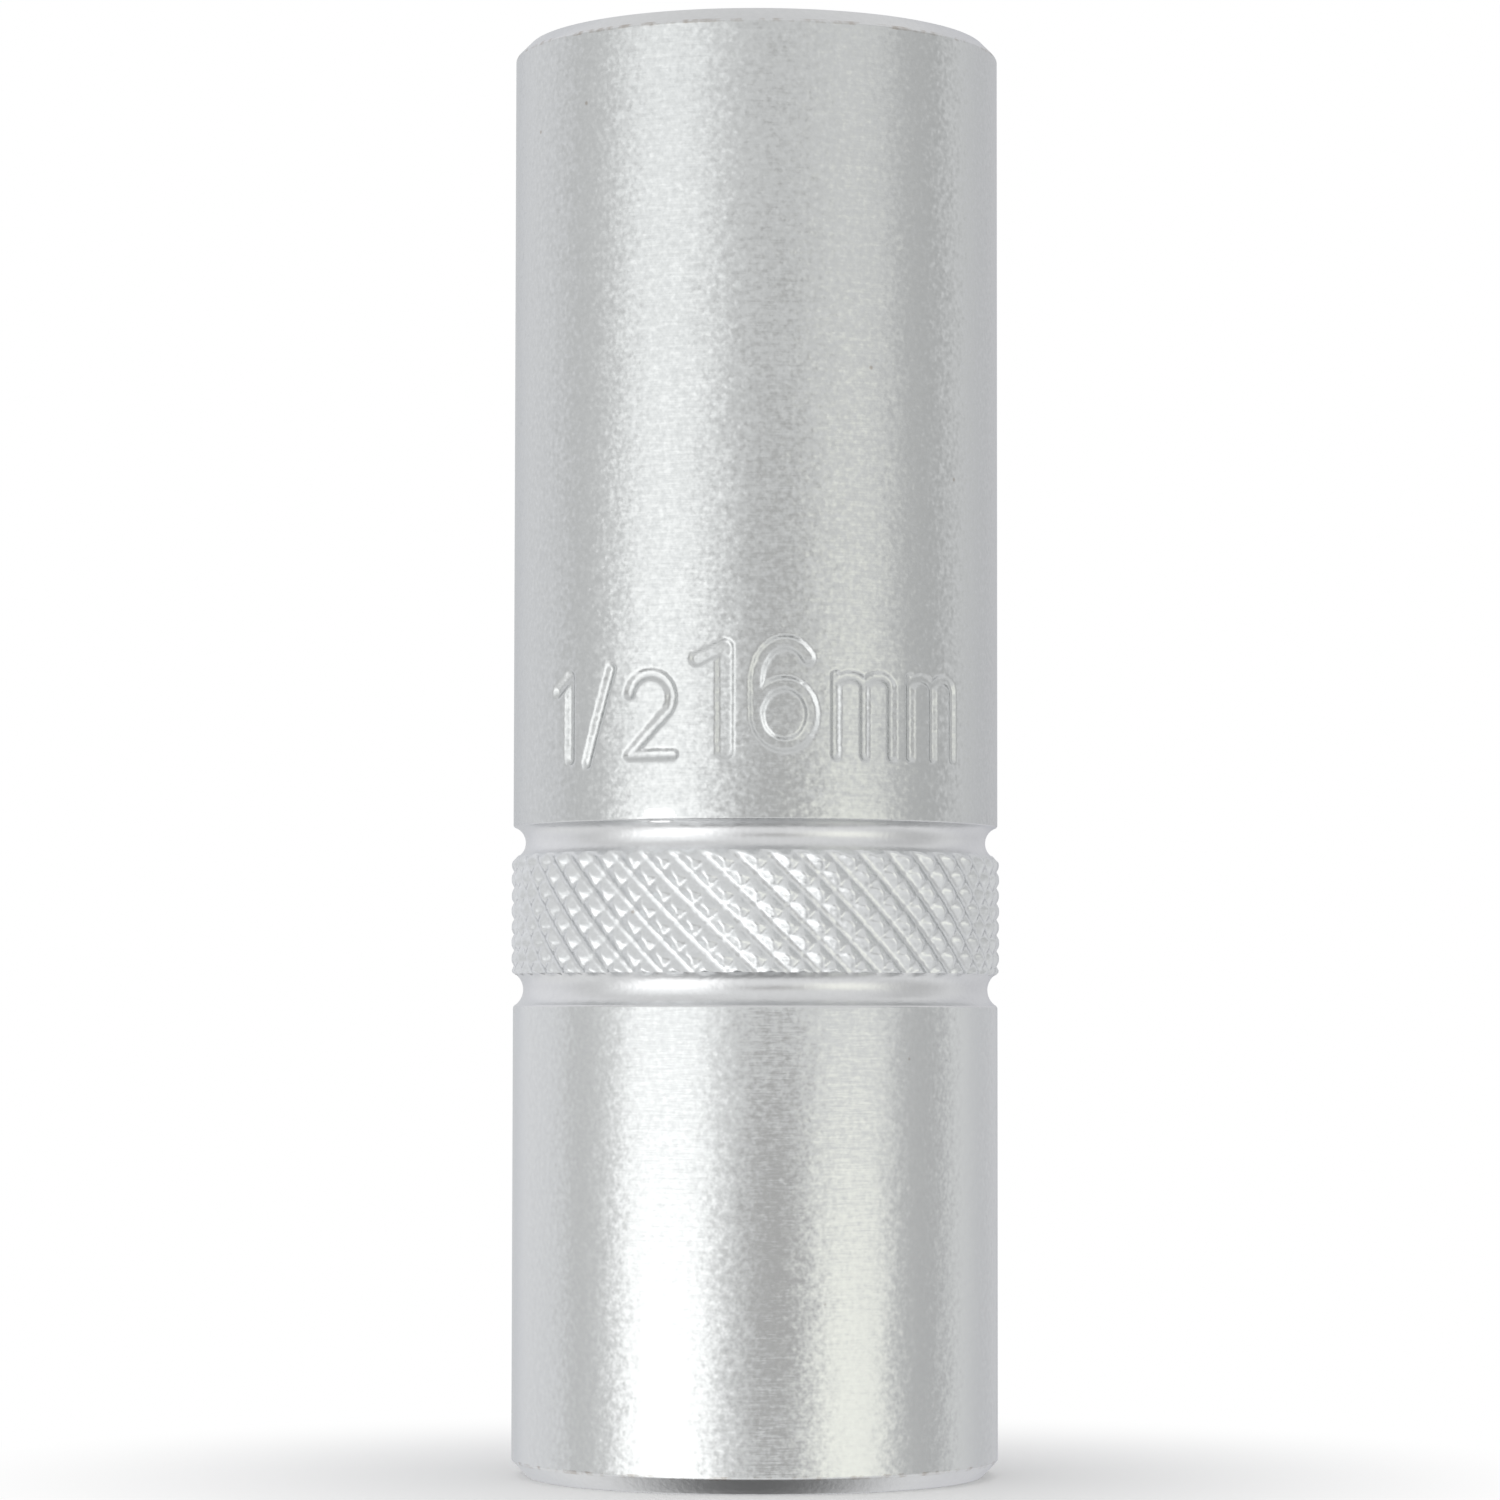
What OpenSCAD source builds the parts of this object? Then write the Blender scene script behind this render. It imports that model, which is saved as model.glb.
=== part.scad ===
// Deep spark plug socket: a steel body with a hexagon mouth, a knurled grip band and a half-inch
// square drive, and a rubber sleeve inside that holds the plug.
// Millimetres. It stands on its drive face, with +Z along its axis towards the plug's mouth.

/* [Body] */
// Length from the drive face to the mouth's face
socket_length = 65; // [62:0.5:75]
// Diameter of the plain walls
body_d = 22; // [21.2:0.1:26]
// Chamfer round the outside of the mouth's face
mouth_edge = 0.64; // [0.3:0.02:0.8]
// Chamfer round the outside of the drive face
drive_edge = 0.75; // [0.3:0.05:1.1]

/* [Hexagon mouth] */
// Width across flats of the plug's hexagon
plug_hex = 16; // [14:0.5:16.5]
// Play between the plug's hexagon and the mouth, across flats
hex_play = 0.1; // [0.05:0.05:0.3]
// Depth of the hexagon from the mouth's face
hex_depth = 20; // [14:0.5:22]
// Width of the lead-in cone outside the hexagon's corners
hex_lead = 0.15; // [0.05:0.05:0.3]

/* [Inner chamber] */
// Diameter of the round chamber between the hexagon and the web
chamber_d = 15.6; // [14:0.1:15.9]
// Thickness of the web between the chamber and the square drive
web_thickness = 4; // [3:0.25:6]
// Diameter of the hole through the web
web_hole_d = 11; // [8:0.25:12]
// Included angle of the drill point that forms the chamber's floor
drill_angle = 118; // [90:2:140]

/* [Square drive] */
// Side of the square that drives the socket
drive_square = 12.7; // [12.6:0.05:12.9]
// Play between the driving square and its hole, across flats
drive_play = 0.1; // [0.05:0.05:0.2]
// Depth of the square hole from the drive face
drive_depth = 17; // [15:0.5:19]
// Distance over the square hole's rounded corners
drive_corner_d = 17.1; // [16:0.1:17.6]
// Width of the lead-in cone outside the square's corners
drive_lead = 0.1; // [0.05:0.05:0.3]
// Diameter of the balls that press the detent dimples
detent_ball_d = 6.4; // [4:0.2:7]
// Depth of the detent dimples in the square's flats
detent_depth = 0.7; // [0.3:0.05:1]
// Height of the detent dimples above the drive face
detent_z = 8; // [6:0.25:10]

/* [Knurled band] */
// Height of the band's lower edge above the drive face
band_z = 22.65; // [20:0.05:30]
// Length of the band along the axis
band_length = 5.35; // [4:0.05:9]
// Height of the knurl's crests above the plain walls
crest_rise = 0.075; // [0:0.005:0.3]
// Number of knurl grooves each way round the band
knurl_starts = 48; // [36:1:60]
// Depth of the main knurl grooves, which fall to the right
knurl_depth = 0.24; // [0.12:0.01:0.4]
// Depth of the lighter cross grooves, which rise to the right
cross_depth = 0.13; // [0:0.01:0.2]
// Drop of the band's two edges below the bottoms of the knurl grooves
band_edge_drop = 0.04; // [0.02:0.01:0.12]

/* [Turned grooves] */
// Depth of the groove above the band
upper_groove_depth = 0.56; // [0.45:0.01:0.9]
// Radius of the round floor of the groove above the band
upper_groove_r = 0.75; // [0.6:0.01:1.1]
// Depth of the groove below the band
lower_groove_depth = 0.46; // [0.35:0.01:0.9]
// Radius of the round floor of the groove below the band
lower_groove_r = 0.86; // [0.6:0.01:1.1]
// Step between the grooves' walls and the band's edges
band_step = 0.05; // [0.02:0.01:0.08]

/* [Plug grip sleeve] */
// Bore that grips the plug's insulator
grip_bore_d = 9.9; // [9:0.1:11]
// Length of the sleeve
grip_length = 14; // [10:0.5:18]
// Radial clearance between the sleeve and the chamber
grip_clearance = 0.05; // [0.02:0.01:0.15]
// Distance from the end of the hexagon to the sleeve
grip_setback = 0.5; // [0.2:0.1:2]
// Diameter of the funnel at the sleeve's upper end
grip_funnel_d = 13; // [12:0.1:13.4]
// Depth of the funnel
grip_funnel_depth = 3; // [2:0.25:5]
// Chamfer on the sleeve's other edges
grip_edge = 0.5; // [0.2:0.05:0.8]
// Radius of the groove in the chamber's wall that holds the sleeve's bead
bead_groove_r = 0.6; // [0.4:0.05:0.9]
// Distance from the sleeve's upper end to the middle of its bead
bead_drop = 5; // [3:0.25:7]

/* [Hidden] */
$fn = 96;
// Cutting tools run this far past the faces that they open
overrun = 1;
body_r = body_d / 2;
// Hexagon mouth
hex_flat_r = (plug_hex + hex_play) / 2;
hex_corner_r = hex_flat_r / cos(30);
hex_lead_r = hex_corner_r + hex_lead;
hex_floor_z = socket_length - hex_depth;
// Square drive
square_side = drive_square + drive_play;
square_flat_r = square_side / 2;
drive_corner_r = drive_corner_d / 2;
drive_lead_r = drive_corner_r + drive_lead;
detent_ball_r = detent_ball_d / 2;
// Inner chamber
chamber_r = chamber_d / 2;
web_hole_r = web_hole_d / 2;
chamber_floor_z = drive_depth + web_thickness;
drill_point_h = (chamber_r - web_hole_r) / tan(drill_angle / 2);
// Knurled band, sampled four times along each knurl pitch both ways
knurl_samples = 4;
knurl_columns = knurl_samples * knurl_starts;
crest_r = body_r + crest_rise;
knurl_rows = round(band_length * knurl_columns / (2 * PI * crest_r));
band_edge_r = crest_r - knurl_depth - band_edge_drop;
band_top_z = band_z + band_length;
// The core under the band, and how far the band's ring is sunk into it
band_core_r = band_edge_r - band_step / 2;
band_sink = 0.5;
// Turned grooves
groove_lip_r = band_edge_r - band_step;
lower_groove_floor_r = body_r - lower_groove_depth;
upper_groove_floor_r = body_r - upper_groove_depth;
lower_groove_z = band_z - arc_reach(lower_groove_r, groove_lip_r - lower_groove_floor_r);
upper_groove_z = band_top_z + arc_reach(upper_groove_r, groove_lip_r - upper_groove_floor_r);
// Plug grip sleeve
grip_r = chamber_r - grip_clearance;
grip_bore_r = grip_bore_d / 2;
grip_funnel_r = grip_funnel_d / 2;
grip_top_z = hex_floor_z - grip_setback;
grip_z = grip_top_z - grip_length;
bead_z = grip_top_z - bead_drop;
bead_r = bead_groove_r - grip_clearance;

// Half the width of a round-floored groove at a height above its floor
function arc_reach(r, rise) = sqrt(2 * r * rise - rise * rise);

// Depth of a knurl groove as a share of its full depth, from its middle to the next crest
function groove_share(step) = abs(2 * step / knurl_samples - 1);

// Radius of the band at a column and a row: the deeper of the two crossing grooves counts
function knurl_r(column, row) =
    let (main = knurl_depth * groove_share((column + row) % knurl_samples))
    let (cross = cross_depth * groove_share((column - row + knurl_columns) % knurl_samples))
    let (at_edge = row == 0 || row == knurl_rows)
    at_edge ? band_edge_r : crest_r - max(main, cross);

// A point on a circle of the band, counted in columns from the front and to the right
function band_point(radius, column, z) =
    let (angle = column * 360 / knurl_columns - 90)
    [radius * cos(angle), radius * sin(angle), z];

// A solid turned about the axis with a round floor of radius r, sunk to floor_r
module round_groove(floor_r, r, z) {
    rotate_extrude()
        translate([floor_r + r, z])
            circle(r);
}

// The bar before it is bored: chamfered ends, a core for the band and the two grooves
module turned_blank() {
    difference() {
        rotate_extrude()
            polygon([
                [0, 0],
                [body_r - drive_edge, 0],
                [body_r, drive_edge],
                [body_r, lower_groove_z],
                [band_core_r, lower_groove_z],
                [band_core_r, upper_groove_z],
                [body_r, upper_groove_z],
                [body_r, socket_length - mouth_edge],
                [body_r - mouth_edge, socket_length],
                [0, socket_length]
            ]);
        round_groove(lower_groove_floor_r, lower_groove_r, lower_groove_z);
        round_groove(upper_groove_floor_r, upper_groove_r, upper_groove_z);
    }
}

// The rolled knurl as a ring round the core. Each cell is split along the diagonal that joins its
// even points, so that crests and groove bottoms both run along edges.
module knurl_ring() {
    inner_r = band_core_r - band_sink;
    row_step = band_length / knurl_rows;
    last_column = knurl_columns - 1;
    inner_start = knurl_columns * (knurl_rows + 1);
    function outer(column, row) = row * knurl_columns + column % knurl_columns;
    function inner(column, side) = inner_start + side * knurl_columns + column % knurl_columns;
    outer_points = [
        for (row = [0 : knurl_rows], column = [0 : last_column])
            band_point(knurl_r(column, row), column, band_z + row * row_step)
    ];
    inner_points = [
        for (z = [band_z, band_top_z], column = [0 : last_column])
            band_point(inner_r, column, z)
    ];
    outer_faces = [
        for (row = [0 : knurl_rows - 1], column = [0 : last_column])
            let (a = outer(column, row), b = outer(column + 1, row))
            let (c = outer(column + 1, row + 1), d = outer(column, row + 1))
            let (even = (column + row) % 2 == 0)
            each even ? [[a, d, c], [a, c, b]] : [[a, d, b], [b, d, c]]
    ];
    inner_faces = [
        for (column = [0 : last_column])
            [inner(column, 0), inner(column + 1, 0), inner(column + 1, 1), inner(column, 1)]
    ];
    lower_faces = [
        for (column = [0 : last_column])
            [outer(column, 0), outer(column + 1, 0), inner(column + 1, 0), inner(column, 0)]
    ];
    upper_faces = [
        for (column = [0 : last_column])
            let (a = outer(column, knurl_rows), b = outer(column + 1, knurl_rows))
            [a, inner(column, 1), inner(column + 1, 1), b]
    ];
    polyhedron(
        concat(outer_points, inner_points),
        concat(outer_faces, inner_faces, lower_faces, upper_faces)
    );
}

// The hexagon and its lead-in cone
module hex_mouth() {
    translate([0, 0, hex_floor_z])
        cylinder(r = hex_corner_r, h = hex_depth + overrun, $fn = 6);
    translate([0, 0, socket_length - hex_lead_r + hex_flat_r])
        cylinder(r1 = hex_flat_r, r2 = hex_lead_r + overrun, h = hex_lead_r - hex_flat_r + overrun);
}

// The drilled chamber with its drill point, the web's hole and the groove for the sleeve's bead
module chamber() {
    translate([0, 0, chamber_floor_z + drill_point_h])
        cylinder(r = chamber_r, h = hex_floor_z + overrun - chamber_floor_z - drill_point_h);
    translate([0, 0, chamber_floor_z])
        cylinder(r1 = web_hole_r, r2 = chamber_r, h = drill_point_h);
    translate([0, 0, drive_depth - overrun])
        cylinder(r = web_hole_r, h = web_thickness + 2 * overrun);
    rotate_extrude()
        translate([chamber_r, bead_z])
            circle(bead_groove_r);
}

// The square hole with rounded corners, its lead-in cone and a detent dimple in each flat
module square_drive() {
    translate([0, 0, -overrun])
        linear_extrude(drive_depth + overrun)
            intersection() {
                square(square_side, center = true);
                circle(drive_corner_r);
            }
    translate([0, 0, -overrun])
        cylinder(r1 = drive_lead_r + overrun, r2 = square_flat_r, h = drive_lead_r - square_flat_r + overrun);
    for (turn = [0 : 90 : 270])
        rotate(turn)
            translate([square_flat_r + detent_depth - detent_ball_r, 0, detent_z])
                sphere(detent_ball_r);
}

// Forged and turned steel socket, plated in satin chrome
module socket_body() {
    color("#c9cbca")
        union() {
            difference() {
                turned_blank();
                hex_mouth();
                chamber();
                square_drive();
            }
            knurl_ring();
        }
}

// Moulded rubber sleeve, pressed into the chamber until its bead snaps into the groove
module plug_grip_sleeve() {
    color("#232324")
        union() {
            rotate_extrude()
                polygon([
                    [grip_bore_r + grip_edge, grip_z],
                    [grip_r - grip_edge, grip_z],
                    [grip_r, grip_z + grip_edge],
                    [grip_r, grip_top_z - grip_edge],
                    [grip_r - grip_edge, grip_top_z],
                    [grip_funnel_r, grip_top_z],
                    [grip_bore_r, grip_top_z - grip_funnel_depth],
                    [grip_bore_r, grip_z + grip_edge]
                ]);
            rotate_extrude()
                translate([chamber_r, bead_z])
                    circle(bead_r);
        }
}

socket_body();
plug_grip_sleeve();
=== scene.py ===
import math

import bmesh
import bpy
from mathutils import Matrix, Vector


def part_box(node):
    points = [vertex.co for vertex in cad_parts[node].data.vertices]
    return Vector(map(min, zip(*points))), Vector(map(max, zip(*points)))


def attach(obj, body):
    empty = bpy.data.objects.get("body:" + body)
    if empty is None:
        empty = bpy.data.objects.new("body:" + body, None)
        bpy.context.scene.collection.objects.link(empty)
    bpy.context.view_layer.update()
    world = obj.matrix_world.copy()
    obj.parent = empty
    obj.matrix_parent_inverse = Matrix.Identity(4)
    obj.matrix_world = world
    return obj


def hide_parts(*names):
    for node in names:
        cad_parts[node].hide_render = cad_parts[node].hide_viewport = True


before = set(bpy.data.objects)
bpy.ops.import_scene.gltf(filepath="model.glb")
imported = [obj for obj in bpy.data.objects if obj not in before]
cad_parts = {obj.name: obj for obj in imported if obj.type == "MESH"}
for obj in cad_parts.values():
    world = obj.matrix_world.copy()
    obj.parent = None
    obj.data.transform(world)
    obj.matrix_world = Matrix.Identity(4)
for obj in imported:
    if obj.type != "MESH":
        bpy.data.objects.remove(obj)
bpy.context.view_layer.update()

# Socket body
# One piece of chrome-vanadium steel, forged, turned and broached. Its grip band is rolled with a
# crossed knurl between two turned grooves, and the outside is blasted and plated in satin chrome.

mm = 0.001
body_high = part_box("socket_body")[1]
socket_length = body_high.z
crest_r = body_high.x
crest_rise = 0.075 * mm
body_r = crest_r - crest_rise
drive_edge = 0.75 * mm
mouth_edge = 0.64 * mm
edge_radius = 0.08 * mm

hex_flat_r = 8.05 * mm
hex_corner_r = hex_flat_r / math.cos(math.pi / 6)
hex_lead = 0.15 * mm
hex_lead_r = hex_corner_r + hex_lead
hex_depth = 20 * mm
hex_floor_z = socket_length - hex_depth

chamber_r = 7.8 * mm
chamber_floor_z = 21 * mm
web_hole_r = 5.5 * mm
drill_point_half_angle = math.radians(59)
drill_point_top_z = chamber_floor_z + (chamber_r - web_hole_r) / math.tan(drill_point_half_angle)
bead_groove_r = 0.6 * mm
bead_z = 39.5 * mm

square_flat_r = 6.4 * mm
drive_corner_r = 8.55 * mm
drive_lead = 0.1 * mm
drive_lead_r = drive_corner_r + drive_lead
drive_depth = 17 * mm
detent_ball_r = 3.2 * mm
detent_depth = 0.7 * mm
detent_z = 8 * mm
detent_reach = 2.2 * mm

band_z = 22.65 * mm
band_top_z = 28 * mm
knurl_starts = 48
pitches_up_band = 3.75
knurl_axial_pitch = (band_top_z - band_z) / pitches_up_band
knurl_depth = 0.25 * mm
notch_depth = 0.18 * mm
band_top_drop = 0.04 * mm
band_top_r = crest_r - knurl_depth - band_top_drop
band_foot_drop = 0.12 * mm
band_foot_r = crest_r - band_foot_drop
band_step = 0.05 * mm
groove_lip_r = band_top_r - band_step
lower_groove_r = 0.86 * mm
lower_groove_depth = 0.46 * mm
lower_groove_floor_r = body_r - lower_groove_depth
upper_groove_r = 0.75 * mm
upper_groove_depth = 0.56 * mm
upper_groove_floor_r = body_r - upper_groove_depth

mark_low_z = 31.4 * mm
mark_high_z = 37.8 * mm
nick_top_z = 30.2 * mm

# Every ring of the body has this many columns: a multiple of the knurl's starts, and of 24, so that
# the corners of the hexagon and of the square each lie on a column.
columns = 4 * knurl_starts
column_turn = 2 * math.pi / columns
groove_steps = 11
bead_groove_steps = 6

# Places that are nearer than this count as one.
touch = 0.001 * mm


def line_to(section, tip, r, z):
    """Draws the section on from tip with a straight line to radius r and height z."""
    tip = bmesh.ops.extrude_vert_indiv(section, verts=[tip])["verts"][0]
    tip.co = (r, 0, z)
    return tip


def arc_about(section, tip, centre_r, centre_z, angle, steps):
    """Draws the section on from tip with an arc about a centre."""
    drawn = bmesh.ops.spin(
        section, geom=[tip], cent=(centre_r, 0, centre_z), axis=(0, 1, 0), angle=angle, steps=steps
    )
    return next(v for v in drawn["geom_last"] if isinstance(v, bmesh.types.BMVert))


def spin_section(section, rounded, radius, steps):
    """Rounds some corners of a half section and spins it about the axis into a closed shape."""
    bmesh.ops.bevel(
        section, geom=rounded, offset=radius, offset_type="OFFSET", segments=4, profile=0.5,
        affect="VERTICES", material=-1,
    )
    bmesh.ops.spin(
        section, geom=section.verts[:] + section.edges[:], cent=(0, 0, 0), axis=(0, 0, 1),
        angle=2 * math.pi, steps=steps, use_merge=True,
    )


def groove_angle(floor_r, r, lip_r):
    """Angle from the floor of a round groove up to a lip."""
    return math.acos((floor_r + r - lip_r) / r)


lower_lip_angle = groove_angle(lower_groove_floor_r, lower_groove_r, body_r)
lower_band_angle = groove_angle(lower_groove_floor_r, lower_groove_r, band_foot_r - band_step)
lower_groove_z = band_z - lower_groove_r * math.sin(lower_band_angle)
lower_lip_z = lower_groove_z - lower_groove_r * math.sin(lower_lip_angle)
upper_lip_angle = groove_angle(upper_groove_floor_r, upper_groove_r, body_r)
upper_band_angle = groove_angle(upper_groove_floor_r, upper_groove_r, groove_lip_r)
upper_groove_z = band_top_z + upper_groove_r * math.sin(upper_band_angle)
upper_lip_z = upper_groove_z + upper_groove_r * math.sin(upper_lip_angle)

# The half section is drawn from the drive face outwards, up the outside and down through the bores,
# its outer corners are rounded, and it is spun.
steel = bmesh.new()
start = steel.verts.new((drive_lead_r, 0, 0))
rounded = []
tip = start
for r, z in [(body_r - drive_edge, 0), (body_r, drive_edge), (body_r, lower_lip_z)]:
    tip = line_to(steel, tip, r, z)
    rounded.append(tip)
tip = arc_about(
    steel, tip, lower_groove_floor_r + lower_groove_r, lower_groove_z,
    lower_lip_angle + lower_band_angle, groove_steps,
)
tip = line_to(steel, tip, band_foot_r, band_z)
tip = line_to(steel, tip, band_top_r, band_top_z)
tip = line_to(steel, tip, groove_lip_r, band_top_z)
tip = arc_about(
    steel, tip, upper_groove_floor_r + upper_groove_r, upper_groove_z,
    upper_band_angle + upper_lip_angle, groove_steps,
)
rounded.append(tip)
for z in [nick_top_z, mark_low_z, mark_high_z]:
    tip = line_to(steel, tip, body_r, z)
for r, z in [(body_r, socket_length - mouth_edge), (body_r - mouth_edge, socket_length)]:
    tip = line_to(steel, tip, r, z)
    rounded.append(tip)
for r, z in [
    (hex_lead_r, socket_length),
    (hex_corner_r, socket_length - hex_lead_r + hex_corner_r),
    (hex_corner_r, hex_floor_z),
    (chamber_r, hex_floor_z),
    (chamber_r, bead_z + bead_groove_r),
]:
    tip = line_to(steel, tip, r, z)
tip = arc_about(steel, tip, chamber_r, bead_z, math.pi, bead_groove_steps)
for r, z in [
    (chamber_r, drill_point_top_z),
    (web_hole_r, chamber_floor_z),
    (web_hole_r, drive_depth),
    (drive_corner_r, drive_depth),
    (drive_corner_r, detent_z + detent_reach),
    (drive_corner_r, detent_z - detent_reach),
    (drive_corner_r, drive_lead_r - drive_corner_r),
]:
    tip = line_to(steel, tip, r, z)
steel.edges.new((tip, start))
spin_section(steel, rounded, edge_radius, columns)


def polar(vert):
    """Radius of a vertex, and its angle round the axis from the front, growing to the right."""
    return math.hypot(vert.co.x, vert.co.y), math.atan2(vert.co.x, -vert.co.y)


def set_radius(vert, r):
    """Moves a vertex in or out to radius r."""
    old_r = math.hypot(vert.co.x, vert.co.y)
    vert.co.x *= r / old_r
    vert.co.y *= r / old_r


def split_wall(low_z, high_z, least_r, most_r, rows, wide, left=-math.pi, right=math.pi):
    """Divides a stretch of a wall into rows, and each of its columns into narrower ones."""
    slack = column_turn / 4

    def edges_on_wall(upright):
        found = []
        for edge in steel.edges:
            a, b = edge.verts
            if not (low_z - touch < min(a.co.z, b.co.z) and max(a.co.z, b.co.z) < high_z + touch):
                continue
            if (abs(a.co.z - b.co.z) > touch) != upright:
                continue
            places = [polar(a), polar(b)]
            if all(least_r < r < most_r and left - slack < t < right + slack for r, t in places):
                found.append(edge)
        return found

    bmesh.ops.subdivide_edges(steel, edges=edges_on_wall(True), cuts=rows - 1)
    if wide > 1:
        bmesh.ops.subdivide_edges(steel, edges=edges_on_wall(False), cuts=wide - 1)


def smooth_step(low, high, x):
    """Rises smoothly from 0 at low to 1 at high."""
    x = max(0, min(1, (x - low) / (high - low)))
    return x * x * (3 - 2 * x)


# The knurl is rolled by two wheels. One presses deep grooves that fall to the right, and the other
# notches the ridges between them into rows of blunt points. A row of the mesh is a sixteenth of a
# pitch, as a column is, so that the ridges follow its diagonals. Flats and flanks are shares of a pitch.
ridge_flat = 0.06
groove_flank = 0.34
point_flat = 0.15
notch_flank = 0.35
split_wall(band_z, band_top_z, groove_lip_r + touch, crest_r, rows=60, wide=4)
for vert in steel.verts:
    if not band_z - touch < vert.co.z < band_top_z + touch:
        continue
    r, angle = polar(vert)
    if r > groove_lip_r + touch:
        around = angle / (2 * math.pi) * knurl_starts
        along = (vert.co.z - band_z) / knurl_axial_pitch
        off_ridge = abs((around + along) % 1 - 0.5)
        off_point = abs((around - along) % 1 - 0.5)
        groove = knurl_depth * max(0, min(1, (off_ridge - ridge_flat) / groove_flank))
        notch = notch_depth * max(0, off_point - point_flat) / notch_flank
        sunk = (groove ** 3 + notch ** 3) ** (1 / 3)
        end_r = min(band_foot_r + vert.co.z - band_z, band_top_r + band_top_z - vert.co.z)
        set_radius(vert, min(end_r, crest_r - sunk))


def ellipse(s, z, reach_s, reach_z, first, last, steps=16):
    """Points along an ellipse, from one angle to another in degrees."""
    turns = [math.radians(first + (last - first) * i / steps) for i in range(steps + 1)]
    return [(s + reach_s * math.cos(t), z + reach_z * math.sin(t)) for t in turns]


# The size of the hexagon, and on its left the size of the drive, are stamped into the wall. Each
# stroke has its points, its width and its depth, in millimetres. Points are measured round the wall
# from the front and up from the drive face.
strokes = [
    ([(-2.62, 36.3), (-1.5, 36.8)], 0.56, 0.13),
    ([(-1.36, 36.8), (-1.36, 32.3)], 0.7, 0.13),
    (ellipse(1.26, 33.88, 1.23, 1.35, 0, 360, steps=28), 0.54, 0.13),
    (ellipse(1.3, 35.3, 1.28, 1.72, 38, 180) + [(0.03, 33.9)], 0.54, 0.13),
    ([(-10.2, 35.1), (-9.3, 35.7), (-9.3, 32.1)], 0.46, 0.18),
    ([(-8.2, 31.85), (-6.8, 35.95)], 0.36, 0.18),
    (ellipse(-4.8, 34.65, 1.05, 1.05, 170, -35) + [(-5.85, 32.15), (-3.7, 32.15)], 0.4, 0.16),
]

# The letters of the unit have three stems each, joined by two arches.
letter_foot = 32.12
letter_width = 0.37
letter_depth = 0.13
stem_gap = 1.38
for left_s in (3.56, 7.32):
    stems = [left_s + i * stem_gap for i in range(3)]
    strokes.append(([(stems[0], letter_foot), (stems[0], 35.62)], letter_width, letter_depth))
    for s in stems[1:]:
        arch = ellipse(s - stem_gap / 2, 35.1, stem_gap / 2, 0.5, 150, 0, steps=10)
        strokes.append((arch + [(s, letter_foot)], letter_width, letter_depth))


def distance_to_line(point, a, b):
    """Distance from a point to the line between a and b."""
    span = b - a
    share = max(0, min(1, (point - a).dot(span) / span.length_squared))
    return (point - a - span * share).length


# The flanks of a stroke run out by this many times its depth.
mark_flank = 1.7


def stamped_depth(s, z):
    """Depth of the stamp at a place on the wall, all in millimetres."""
    place = Vector((s, z))
    deepest = 0
    for points, width, depth in strokes:
        flank = mark_flank * depth
        reach = width / 2 + flank
        if min(p[0] for p in points) - reach < s < max(p[0] for p in points) + reach:
            if min(p[1] for p in points) - reach < z < max(p[1] for p in points) + reach:
                lines = zip(points, points[1:])
                gap = min(distance_to_line(place, Vector(a), Vector(b)) for a, b in lines) - width / 2
                deepest = max(deepest, depth * smooth_step(0.5, -0.5, gap / flank))
    return deepest


mark_left = -33 * column_turn
mark_right = 31 * column_turn
split_wall(
    mark_low_z, mark_high_z, body_r - touch, crest_r, rows=84, wide=5, left=mark_left, right=mark_right
)
for vert in steel.verts:
    if mark_low_z + touch < vert.co.z < mark_high_z - touch:
        r, angle = polar(vert)
        if r > groove_lip_r:
            set_radius(vert, body_r - stamped_depth(body_r * angle / mm, vert.co.z / mm) * mm)

# A knock has bruised the lip of the upper groove. The core of the bruise, a share of its reach, is
# knocked in by its full depth.
nick_angle = math.radians(-22.6)
nick_reach = math.radians(5.4)
nick_core = 0.2
nick_height = 0.58 * mm
nick_depth = 0.13 * mm
nick_left = -15 * column_turn
nick_right = -9 * column_turn
split_wall(
    upper_lip_z + edge_radius / 4, nick_top_z, body_r - touch, crest_r, rows=12, wide=4,
    left=nick_left, right=nick_right,
)
for vert in steel.verts:
    if upper_lip_z - edge_radius < vert.co.z < nick_top_z - touch:
        r, angle = polar(vert)
        if r > groove_lip_r and abs(angle - nick_angle) < nick_reach:
            across = 1 - smooth_step(nick_core, 1, abs(angle - nick_angle) / nick_reach)
            down = max(0, 1 - max(0, vert.co.z - upper_lip_z) / nick_height)
            set_radius(vert, r - nick_depth * across * down)


def flat_sided(angle, flat_r, sides):
    """Radius of a hole with flat sides, one of them at the front, at an angle round the axis."""
    turn = 2 * math.pi / sides
    return flat_r / math.cos((angle + turn / 2) % turn - turn / 2)


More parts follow.
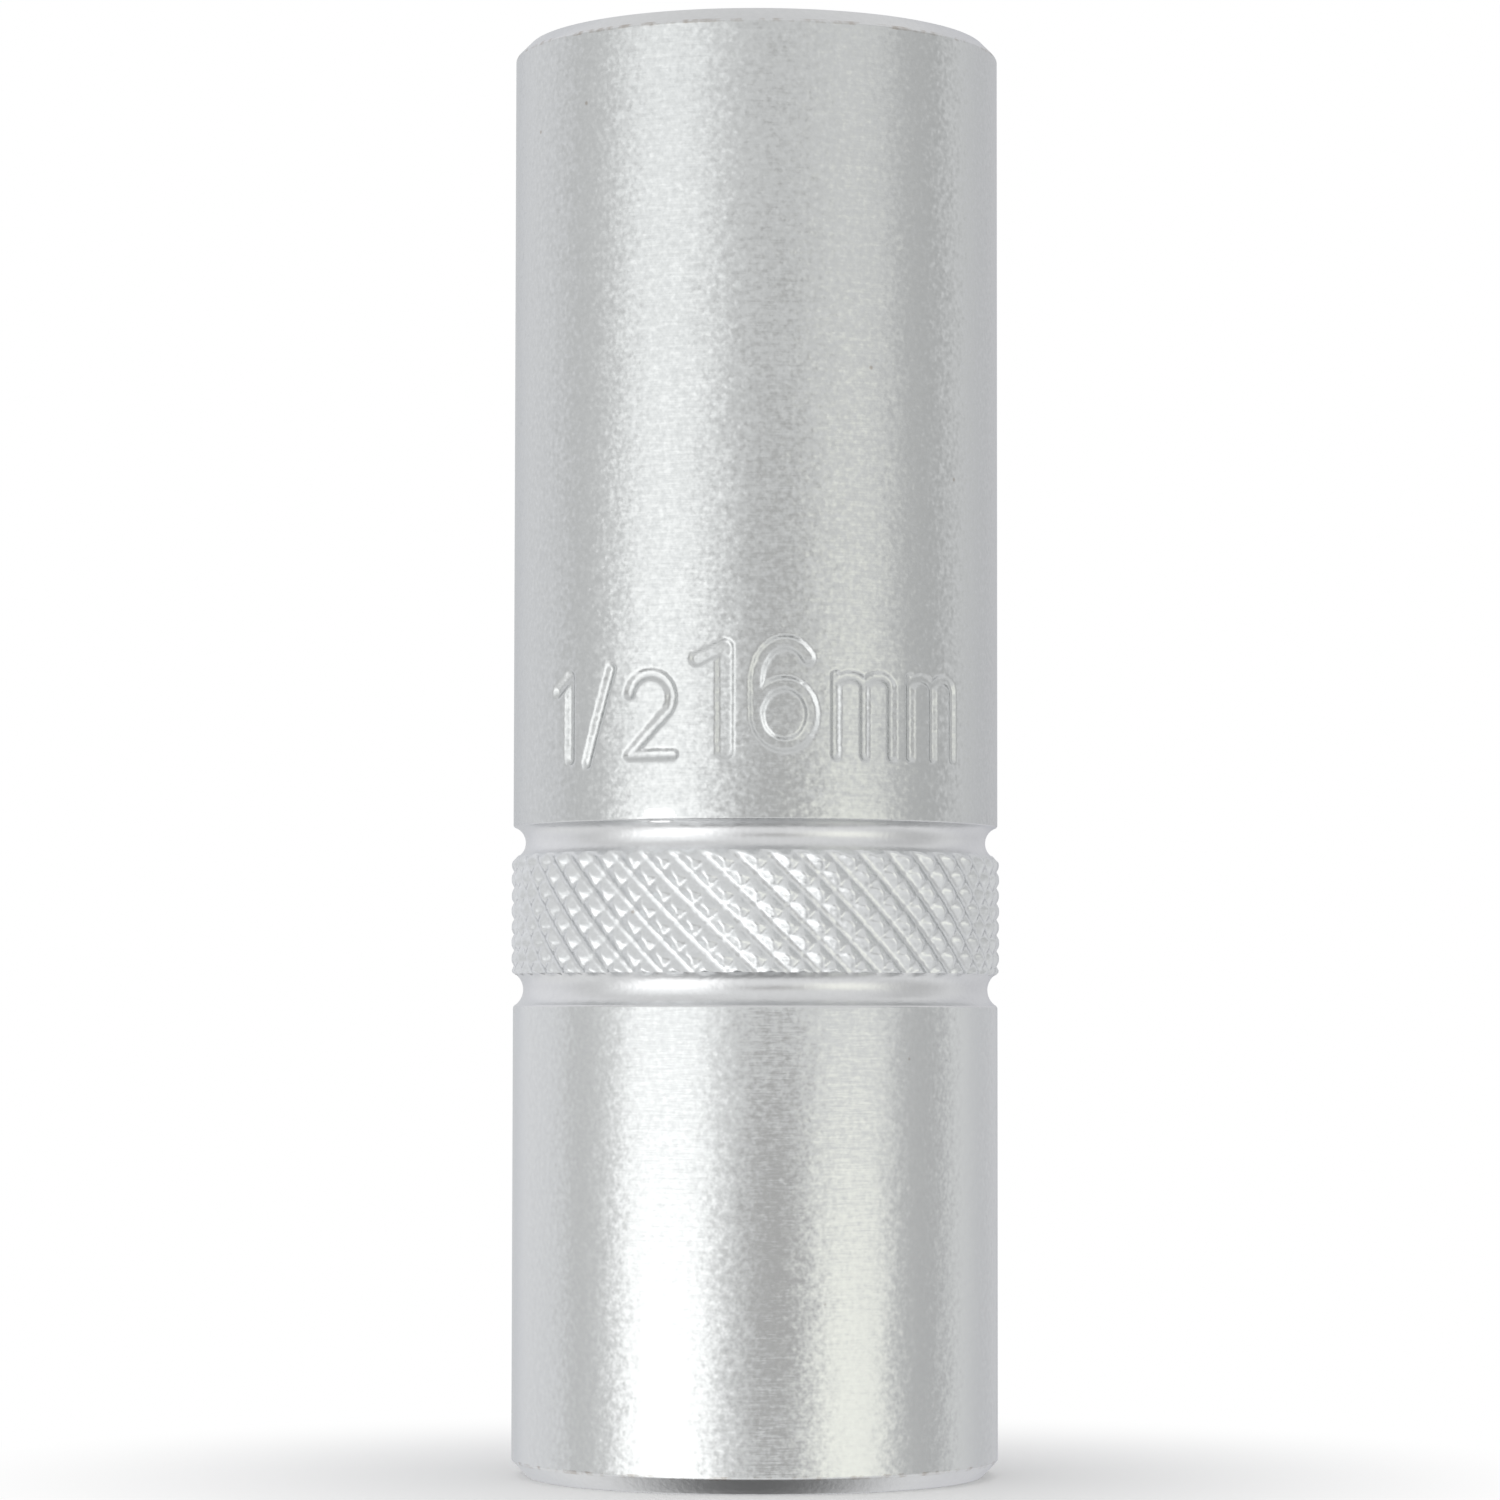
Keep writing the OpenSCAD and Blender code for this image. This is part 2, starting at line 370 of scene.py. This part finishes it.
# The hexagon and the square are broached, so the cones that lead into them meet their flats in
# scallops. Each flat of the square has a dimple for the ball of the drive.
split_wall(
    detent_z - detent_reach, detent_z + detent_reach, drive_corner_r - touch, drive_corner_r + touch,
    rows=24, wide=1,
)
for vert in steel.verts:
    r, angle = polar(vert)
    if abs(r - hex_corner_r) < touch and vert.co.z > hex_floor_z - touch:
        hex_r = flat_sided(angle, hex_flat_r, sides=6)
        if vert.co.z > hex_floor_z + touch:
            vert.co.z = socket_length - hex_lead_r + hex_r
        set_radius(vert, hex_r)
    elif abs(r - drive_corner_r) < touch and vert.co.z < drive_depth + touch:
        square_r = min(drive_corner_r, flat_sided(angle, square_flat_r, sides=4))
        if vert.co.z < drive_lead_r - drive_corner_r + touch:
            vert.co.z = drive_lead_r - square_r
        set_radius(vert, square_r)
        off_flat = (angle + math.pi / 4) % (math.pi / 2) - math.pi / 4
        off_ball = square_r * math.sin(off_flat)
        reach_squared = detent_ball_r ** 2 - off_ball ** 2 - (vert.co.z - detent_z) ** 2
        if reach_squared > 0:
            dimple = detent_depth - detent_ball_r + math.sqrt(reach_squared)
            if dimple > 0:
                flat_angle = angle - off_flat
                vert.co += Vector((math.sin(flat_angle), -math.cos(flat_angle), 0)) * dimple

bmesh.ops.recalc_face_normals(steel, faces=steel.faces[:])


def linear(hex_colour):
    """An sRGB hex colour as linear RGBA."""
    values = [int(hex_colour[i:i + 2], 16) / 255 for i in (1, 3, 5)]
    return [v / 12.92 if v < 0.04045 else ((v + 0.055) / 1.055) ** 2.4 for v in values] + [1]


def add(tree, kind, settings=None, **inputs):
    """Adds a node with its settings, and links or sets its inputs, given by name or as _number."""
    node = tree.nodes.new(kind)
    for name, value in (settings or {}).items():
        setattr(node, name, value)
    for name, value in inputs.items():
        socket = node.inputs[int(name[1:]) if name[0] == "_" else name.replace("_", " ")]
        if isinstance(value, bpy.types.NodeSocket):
            tree.links.new(value, socket)
        else:
            socket.default_value = value
    return node


def new_material(name, metallic, roughness):
    """A material with its node tree and its main shader."""
    material = bpy.data.materials.new(name)
    material.use_nodes = True
    shader = material.node_tree.nodes["Principled BSDF"]
    shader.inputs["Metallic"].default_value = metallic
    shader.inputs["Roughness"].default_value = roughness
    return material, material.node_tree, shader


# How far tarnish reaches from an edge, how large its spots are, and how far apart the pits lie.
tarnish_reach = 0.09 * mm
tarnish_spot = 0.5 * mm
pit_spacing = 3 * mm


def tarnished(tree, place, colour):
    """The colour with brown tarnish, in spots along the edges of the chamfers and in a few pits."""
    z = add(tree, "ShaderNodeSeparateXYZ", Vector=place).outputs["Z"]
    near = []
    for edge_z in (drive_edge, socket_length - mouth_edge):
        beside = add(
            tree, "ShaderNodeMath", {"operation": "COMPARE"}, _0=z, _1=edge_z, _2=tarnish_reach
        )
        near.append(beside.outputs[0])
    near_edge = add(tree, "ShaderNodeMath", {"operation": "ADD"}, _0=near[0], _1=near[1])
    spots = add(tree, "ShaderNodeTexNoise", Vector=place, Scale=1 / tarnish_spot, Detail=2.0)
    spotted = add(
        tree, "ShaderNodeMapRange", Value=spots.outputs["Fac"], From_Min=0.46, From_Max=0.72, To_Max=0.5
    )
    rim = add(
        tree, "ShaderNodeMath", {"operation": "MULTIPLY"}, _0=near_edge.outputs[0], _1=spotted.outputs[0]
    )
    pits = add(tree, "ShaderNodeTexVoronoi", Vector=place, Scale=1 / pit_spacing)
    pitted = add(
        tree, "ShaderNodeMapRange", Value=pits.outputs["Distance"], From_Min=0.015, From_Max=0.04,
        To_Min=0.5, To_Max=0.0,
    )
    share = add(
        tree, "ShaderNodeMath", {"operation": "MAXIMUM"}, _0=rim.outputs[0], _1=pitted.outputs[0]
    )
    mixed = add(
        tree, "ShaderNodeMix", {"data_type": "RGBA"}, _0=share.outputs[0], _6=colour, _7=linear("#8f8070")
    )
    return mixed.outputs[2]


# The facets that blasting leaves are under 0.1 mm across, and are drawn coarser here so that they
# show. Waves make the wall uneven, and the faint rings of the turning tool are drawn out round it.
facet_size = 0.24 * mm
wave_size = 1.6 * mm
ring_size = 0.18 * mm
ring_stretch = 0.12


def blasted_chrome(name, dull, usual, painted_glint, roughness, tilt):
    """Satin chrome on blasted steel: a soft mirror of tiny facets, each tilted a little so that they
    glitter, in tones that vary at random, the brightest being a painted glint.
    """
    material, tree, shader = new_material(name, metallic=1, roughness=roughness)
    place = add(tree, "ShaderNodeTexCoord").outputs["Object"]
    normal = add(tree, "ShaderNodeNewGeometry").outputs["Normal"]
    facets = add(
        tree, "ShaderNodeTexNoise", Vector=place, Scale=1 / facet_size, Detail=1.0, Roughness=0.6
    )
    # The tones vary at random as the plating does, but the brightest tone is a painted glint: sparkle of
    # light put into the colour.
    tones = add(tree, "ShaderNodeValToRGB", Fac=facets.outputs["Color"])
    tones.color_ramp.elements[0].position = 0.15
    tones.color_ramp.elements[0].color = linear(dull)
    tones.color_ramp.elements[1].position = 0.55
    tones.color_ramp.elements[1].color = linear(usual)
    tones.color_ramp.elements.new(0.85).color = linear(painted_glint)
    colour = tarnished(tree, place, tones.outputs["Color"])
    tree.links.new(colour, shader.inputs["Base Color"])
    lean = add(
        tree, "ShaderNodeVectorMath", {"operation": "MULTIPLY_ADD"}, _0=facets.outputs["Color"],
        _1=(2 * tilt,) * 3, _2=(-tilt,) * 3,
    )
    leaning = add(
        tree, "ShaderNodeVectorMath", {"operation": "ADD"}, _0=lean.outputs[0], _1=normal
    )
    facet_normal = add(tree, "ShaderNodeVectorMath", {"operation": "NORMALIZE"}, _0=leaning.outputs[0])
    waves = add(tree, "ShaderNodeTexNoise", Vector=place, Scale=1 / wave_size, Detail=3.0)
    uneven = add(
        tree, "ShaderNodeBump", Height=waves.outputs["Fac"], Strength=1.0, Distance=0.03 * mm,
        Normal=facet_normal.outputs[0],
    )
    flattened = add(tree, "ShaderNodeMapping", Vector=place, Scale=(ring_stretch, ring_stretch, 1))
    rings = add(
        tree, "ShaderNodeTexNoise", Vector=flattened.outputs[0], Scale=1 / ring_size, Detail=2.0
    )
    turned = add(
        tree, "ShaderNodeBump", Height=rings.outputs["Fac"], Strength=1.0, Distance=0.011 * mm,
        Normal=uneven.outputs["Normal"],
    )
    tree.links.new(turned.outputs["Normal"], shader.inputs["Normal"])
    return material


# The upper wall is blasted coarsely and the lower one finely. The rolled band has the same plating, but is
# drawn lighter than both as painted light, for the brighter light that its knurl catches.
coarse_satin = blasted_chrome(
    "satin_chrome_coarse_blast", "#c1c3c3", "#cacccc", "#d6d8d8", roughness=0.31, tilt=0.19
)
# Partly painted light: the finer blast is the lower wall's own finish, but its lighter colour stands in for
# the brighter light on the lower wall.
fine_satin_painted_lighter = blasted_chrome(
    "satin_chrome_fine_blast_painted_lighter", "#cdcecf", "#d1d3d3", "#d7d8d8", roughness=0.25, tilt=0.11
)
# Painted light: the band's colours are lifted above the upper wall's to stand in for the light its knurl
# catches.
knurl_satin_painted_lighter = blasted_chrome(
    "satin_chrome_on_rolled_knurl_painted_lighter", "#cfd1d1", "#d8dadb", "#e4e6e7", roughness=0.31, tilt=0.19
)

# Satin chrome on turned steel, in the grooves and on the chamfers and ends: an even, lighter sheen
# with a faint grain.
turned_satin, tree, shader = new_material("satin_chrome_on_turned_steel", metallic=1, roughness=0.3)
place = add(tree, "ShaderNodeTexCoord").outputs["Object"]
grain = add(tree, "ShaderNodeTexNoise", Vector=place, Scale=1 / (0.25 * mm), Detail=2.0)
bump = add(tree, "ShaderNodeBump", Height=grain.outputs["Fac"], Strength=1.0, Distance=0.012 * mm)
tree.links.new(bump.outputs["Normal"], shader.inputs["Normal"])
plate = add(tree, "ShaderNodeValToRGB", Fac=grain.outputs["Fac"])
plate.color_ramp.elements[0].color = linear("#d2d3d4")
plate.color_ramp.elements[1].color = linear("#dcddde")
tree.links.new(tarnished(tree, place, plate.outputs["Color"]), shader.inputs["Base Color"])

# Thin chrome in the bores: dull and greyer, with the long scratches of the broach.
bore_satin, tree, shader = new_material("thin_chrome_in_broached_bore", metallic=1, roughness=0.62)
place = add(tree, "ShaderNodeTexCoord").outputs["Object"]
stretch = add(tree, "ShaderNodeMapping", Vector=place, Scale=(1, 1, 0.02))
scratches = add(
    tree, "ShaderNodeTexNoise", Vector=stretch.outputs[0], Scale=1 / (0.25 * mm), Detail=3.0
)
bump = add(tree, "ShaderNodeBump", Height=scratches.outputs["Fac"], Strength=1.0, Distance=0.03 * mm)
tree.links.new(bump.outputs["Normal"], shader.inputs["Normal"])
plate = add(tree, "ShaderNodeValToRGB", Fac=scratches.outputs["Fac"])
plate.color_ramp.elements[0].position = 0.3
plate.color_ramp.elements[0].color = linear("#b0b0af")
plate.color_ramp.elements[1].position = 0.7
plate.color_ramp.elements[1].color = linear("#d0d1d1")
tree.links.new(plate.outputs["Color"], shader.inputs["Base Color"])


def on_relief(r, z, margin):
    """Whether a place is on the stamped wall, or on the band and more than a margin from its ends."""
    on_band = band_z + margin < z < band_top_z - margin
    return r > groove_lip_r - knurl_depth and (on_band or mark_low_z < z < mark_high_z)


# A face in the bores is a wall if its normal leans to the axis by less than most_lean. Below
# nick_top_z, the knock has rubbed the upper wall smooth where it is sunk by more than least_bruise.
most_lean = 0.5
least_bruise = 0.02 * mm
finishes = [coarse_satin, fine_satin_painted_lighter, knurl_satin_painted_lighter, turned_satin, bore_satin]
relief_faces = []
for face in steel.faces:
    face.smooth = True
    centre = face.calc_center_median()
    r = math.hypot(centre.x, centre.y)
    in_bore = r < hex_lead_r
    on_chamfer = not drive_edge < centre.z < socket_length - mouth_edge
    in_groove = lower_lip_z < centre.z < upper_lip_z
    on_bruise = body_r - r > least_bruise and centre.z < nick_top_z
    if in_bore and abs(face.normal.z) < most_lean:
        finish = bore_satin
    elif in_bore or on_chamfer:
        finish = turned_satin
    elif band_z < centre.z < band_top_z:
        finish = knurl_satin_painted_lighter
    elif in_groove or on_bruise:
        finish = turned_satin
    else:
        finish = coarse_satin if centre.z > upper_lip_z else fine_satin_painted_lighter
    face.material_index = finishes.index(finish)
    if on_relief(r, centre.z, 0) and len(face.verts) == 4:
        relief_faces.append(face)
bmesh.ops.triangulate(steel, faces=relief_faces, quad_method="ALTERNATE", ngon_method="BEAUTY")
crease = math.radians(32)
for edge in steel.edges:
    r = min(polar(v)[0] for v in edge.verts)
    edge.smooth = on_relief(r, edge.verts[0].co.z, touch) or edge.calc_face_angle(0) < crease


def new_object(name, shape, materials):
    """An object at the origin with this shape and these materials."""
    data = bpy.data.meshes.new(name)
    shape.to_mesh(data)
    shape.free()
    for material in materials:
        data.materials.append(material)
    made = bpy.data.objects.new(name, data)
    bpy.context.scene.collection.objects.link(made)
    return made


body = new_object("plated_socket", steel, finishes)
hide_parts("socket_body")
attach(body, "root")

# Plug grip sleeve
# A moulded black rubber sleeve, pressed into the chamber until its bead snaps into the groove there.
# Its funnel leads the plug's insulator into the bore.

grip_low, grip_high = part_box("plug_grip_sleeve")
grip_r = 7.75 * mm
grip_bore_r = 4.95 * mm
grip_funnel_r = 6.5 * mm
grip_funnel_depth = 3 * mm
grip_bead_r = 0.55 * mm
grip_bead_steps = 12
grip_lip = 0.3 * mm
grip_columns = 96

# The half section is drawn from the funnel's rim outwards, down over the bead and up the bore.
bead_angle = math.pi / 2 + math.asin((chamber_r - grip_r) / grip_bead_r)
rubber = bmesh.new()
start = rubber.verts.new((grip_funnel_r, 0, grip_high.z))
rounded = [start]
tip = line_to(rubber, start, grip_r, grip_high.z)
rounded.append(tip)
tip = line_to(rubber, tip, grip_r, bead_z + grip_bead_r * math.sin(bead_angle))
tip = arc_about(rubber, tip, chamber_r, bead_z, 2 * bead_angle, grip_bead_steps)
for r, z in [
    (grip_r, grip_low.z),
    (grip_bore_r, grip_low.z),
    (grip_bore_r, grip_high.z - grip_funnel_depth),
]:
    tip = line_to(rubber, tip, r, z)
    rounded.append(tip)
rubber.edges.new((tip, start))
spin_section(rubber, rounded, grip_lip, grip_columns)
bmesh.ops.recalc_face_normals(rubber, faces=rubber.faces[:])
for face in rubber.faces:
    face.smooth = True

# Moulded black rubber: matt, with the fine grain of the mould and a grey bloom here and there.
moulded_rubber, tree, shader = new_material("moulded_black_rubber", metallic=0, roughness=0.55)
place = add(tree, "ShaderNodeTexCoord").outputs["Object"]
grain = add(tree, "ShaderNodeTexNoise", Vector=place, Scale=1 / (0.3 * mm), Detail=3.0)
bump = add(tree, "ShaderNodeBump", Height=grain.outputs["Fac"], Strength=1.0, Distance=0.02 * mm)
tree.links.new(bump.outputs["Normal"], shader.inputs["Normal"])
clouds = add(tree, "ShaderNodeTexNoise", Vector=place, Scale=1 / (4 * mm), Detail=2.0)
bloom = add(tree, "ShaderNodeValToRGB", Fac=clouds.outputs["Fac"])
bloom.color_ramp.elements[0].position = 0.35
bloom.color_ramp.elements[0].color = linear("#222223")
bloom.color_ramp.elements[1].position = 0.75
bloom.color_ramp.elements[1].color = linear("#313132")
tree.links.new(bloom.outputs["Color"], shader.inputs["Base Color"])

sleeve = new_object("rubber_sleeve", rubber, [moulded_rubber])
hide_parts("plug_grip_sleeve")
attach(sleeve, "root")

# Floor
# A pale floor that the socket stands on. It shows the socket's shadow and turns into the white
# background further out. The socket doesn't mirror it, but the studio's own light below.

floor_reach = 3
fade_start = 11.5 * mm
fade_end = 40 * mm
floor_mesh = bmesh.new()
bmesh.ops.create_grid(floor_mesh, x_segments=1, y_segments=1, size=floor_reach)

# Matt, pale board, which fades out to plain white for the camera.
pale_board, tree, shader = new_material("pale_floor", metallic=0, roughness=0.9)
shader.inputs["Base Color"].default_value = linear("#f7f7f7")
path = add(tree, "ShaderNodeLightPath")
place = add(tree, "ShaderNodeTexCoord").outputs["Object"]
distance = add(tree, "ShaderNodeVectorMath", {"operation": "LENGTH"}, _0=place).outputs["Value"]
fade = add(
    tree, "ShaderNodeMapRange", {"interpolation_type": "SMOOTHSTEP"}, Value=distance,
    From_Min=fade_start, From_Max=fade_end,
)
seen = add(
    tree, "ShaderNodeMath", {"operation": "MULTIPLY"}, _0=fade.outputs[0], _1=path.outputs["Is Camera Ray"]
)
white = add(tree, "ShaderNodeEmission", Color=(1, 1, 1, 1), Strength=1.0)
shown = add(
    tree, "ShaderNodeMixShader", _0=seen.outputs[0], _1=shader.outputs[0], _2=white.outputs[0]
)
clear = add(tree, "ShaderNodeBsdfTransparent")
surface = add(
    tree, "ShaderNodeMixShader", _0=path.outputs["Is Glossy Ray"], _1=shown.outputs[0], _2=clear.outputs[0]
)
tree.links.new(surface.outputs[0], tree.nodes["Material Output"].inputs["Surface"])
floor = new_object("floor", floor_mesh, [pale_board])

# Studio
# A white surround that is dim straight below, with a strong soft box at the front left, a weaker one
# at the front right and dark cards between and beside them. The camera itself sees plain white.

world = bpy.data.worlds.new("studio")
bpy.context.scene.world = world
world.use_nodes = True
tree = world.node_tree
tree.nodes.clear()
direction = add(tree, "ShaderNodeTexCoord").outputs["Generated"]
parts = add(tree, "ShaderNodeSeparateXYZ", Vector=direction)
to_front = add(tree, "ShaderNodeMath", {"operation": "MULTIPLY"}, _0=parts.outputs["Y"], _1=-1.0)
azimuth = add(
    tree, "ShaderNodeMath", {"operation": "ARCTAN2"}, _0=parts.outputs["X"], _1=to_front.outputs[0]
)
height = add(tree, "ShaderNodeMath", {"operation": "ARCSINE"}, _0=parts.outputs["Z"])
rise = add(
    tree, "ShaderNodeMath", {"operation": "MULTIPLY_ADD"}, _0=height.outputs[0], _1=1 / math.pi, _2=0.5
)

# The surround's level at each height, in degrees above the floor.
surround_levels = [
    (-90, 0.1), (-75, 0.15), (-52, 1.0), (-30, 1.0), (-8, 0.9), (14, 0.95), (45, 0.92), (90, 0.8),
]
surround = add(tree, "ShaderNodeValToRGB", Fac=rise.outputs[0])
stops = surround.color_ramp.elements
for i, (degrees, level) in enumerate(surround_levels):
    at = degrees / 180 + 0.5
    stop = stops[i] if i < 2 else stops.new(at)
    stop.position = at
    stop.color = (level, level, level, 1)
light = surround.outputs["Color"]

# Soft boxes, and dark cards below zero: the angle round from the front to the middle of each and its
# half width, its lowest and highest angle above the floor, and what it adds.
soft_edge = math.radians(8)
boxes = [
    (-43, 23, -50, 4, (0.5, 0.49, 0.48)),
    (-43, 23, -50, 30, (0.39, 0.4, 0.4)),
    (46, 17, -28, 3, (0.44, 0.44, 0.34)),
    (9, 13, -12, 6, (-0.44, -0.45, -0.46)),
    (86, 16, -40, 40, (-0.27, -0.27, -0.27)),
    (-90, 10, -40, 40, (-0.16, -0.16, -0.16)),
    (-128, 26, -20, 45, (0.04, 0.04, 0.06)),
    (152, 30, -45, 45, (-0.17, -0.17, -0.15)),
    (-170, 24, -45, 45, (-0.18, -0.17, -0.15)),
]
for middle, half_width, lowest, highest, level in boxes:
    shares = []
    for angle, centre, half in [
        (azimuth, middle, half_width),
        (height, (lowest + highest) / 2, (highest - lowest) / 2),
    ]:
        off = add(
            tree, "ShaderNodeMath", {"operation": "SUBTRACT"}, _0=angle.outputs[0], _1=math.radians(centre)
        )
        wrapped = add(
            tree, "ShaderNodeMath", {"operation": "WRAP"}, _0=off.outputs[0], _1=math.pi, _2=-math.pi
        )
        size = add(tree, "ShaderNodeMath", {"operation": "ABSOLUTE"}, _0=wrapped.outputs[0])
        edge = add(
            tree, "ShaderNodeMapRange", {"interpolation_type": "SMOOTHSTEP"}, Value=size.outputs[0],
            From_Min=math.radians(half) - soft_edge, From_Max=math.radians(half) + soft_edge,
            To_Min=1.0, To_Max=0.0,
        )
        shares.append(edge.outputs[0])
    share = add(tree, "ShaderNodeMath", {"operation": "MULTIPLY"}, _0=shares[0], _1=shares[1])
    light = add(
        tree, "ShaderNodeVectorMath", {"operation": "MULTIPLY_ADD"}, _0=share.outputs[0], _1=level, _2=light
    ).outputs[0]
studio = add(tree, "ShaderNodeBackground", Color=light, Strength=1.0)
white = add(tree, "ShaderNodeBackground", Color=(1, 1, 1, 1), Strength=1.0)
seen = add(tree, "ShaderNodeLightPath").outputs["Is Camera Ray"]
mix = add(tree, "ShaderNodeMixShader", _0=seen, _1=studio.outputs[0], _2=white.outputs[0])
add(tree, "ShaderNodeOutputWorld", Surface=mix.outputs[0])

# Camera
# A long lens in front of the socket, level with the top of its lower wall. It is tipped up to the
# middle of the socket, and rolled by the little that the photo leans. Both angles are in degrees.

tip_up = 2.885
roll = -0.085
camera_data = bpy.data.cameras.new("camera")
camera = bpy.data.objects.new("camera", camera_data)
bpy.context.scene.collection.objects.link(camera)
camera_data.sensor_width = 36
camera_data.lens = 129.5
camera_data.clip_start = 10 * mm
camera.location = (-0.235 * mm, -245.5 * mm, 20.49 * mm)
camera.rotation_euler = (math.radians(90 + tip_up), math.radians(roll), 0)
bpy.context.scene.camera = camera

bpy.context.scene.view_settings.view_transform = "Standard"
